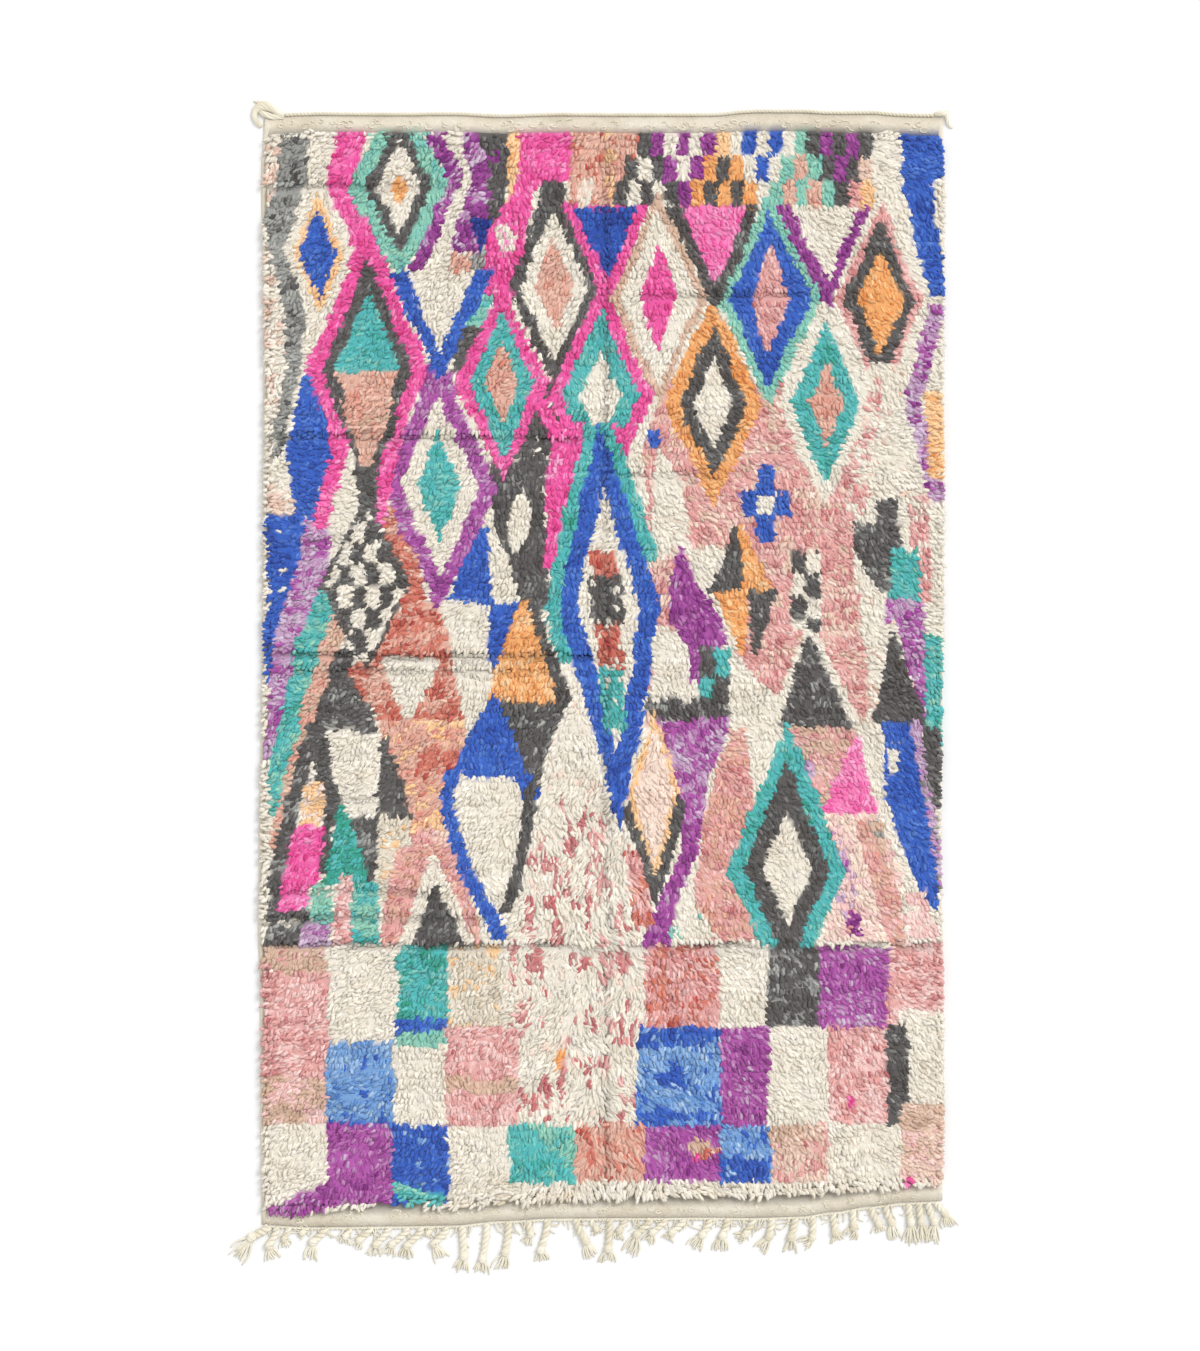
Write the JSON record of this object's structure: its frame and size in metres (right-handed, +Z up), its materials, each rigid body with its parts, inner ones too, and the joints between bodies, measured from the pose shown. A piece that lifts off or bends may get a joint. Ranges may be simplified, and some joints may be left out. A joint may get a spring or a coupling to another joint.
{
  "type": "boujaad rug",
  "caption": "Hand-knotted shag wool rug that lies flat on a floor, with lozenges, checks and colour blocks, flat-woven ends, a twined heading cord and a knotted warp fringe.",
  "frame": {"origin": "on the floor, under the middle of the whole rug's box, fringe and corner ends included", "axes": "+X across the rug to the right seen from above, +Y along its length from the fringed foot to the heading, +Z up from the floor"},
  "size_m": [1.6412, 2.663, 0.0215],
  "materials": {
    "ground_wool": "matt flat-woven wool, undyed beige ivory",
    "warp_wool": "matt twisted wool warp, undyed ivory",
    "pile_ivory": "matt wool pile, undyed ivory",
    "pile_blush": "matt wool pile, ivory blushed with pink",
    "pile_pink": "matt wool pile, dyed hot pink",
    "pile_rose": "matt wool pile, faded rose and tan",
    "pile_rust": "matt wool pile, dyed rust and salmon",
    "pile_orange": "matt wool pile, dyed soft orange",
    "pile_blue": "matt wool pile, dyed bright blue",
    "pile_denim": "matt wool pile, dyed light denim blue",
    "pile_teal": "matt wool pile, dyed teal and sea green",
    "pile_purple": "matt wool pile, dyed purple and magenta",
    "pile_charcoal": "matt wool pile, charcoal brown and slate grey"
  },
  "bodies": {
    "root": {"ground_weave": "ground_wool", "pile": "pile_ivory", "heading_cord": "warp_wool", "warp_fringe": "warp_wool", "heading_tail": "warp_wool", "heading_tuft": "warp_wool"}
  },
  "joints": []
}
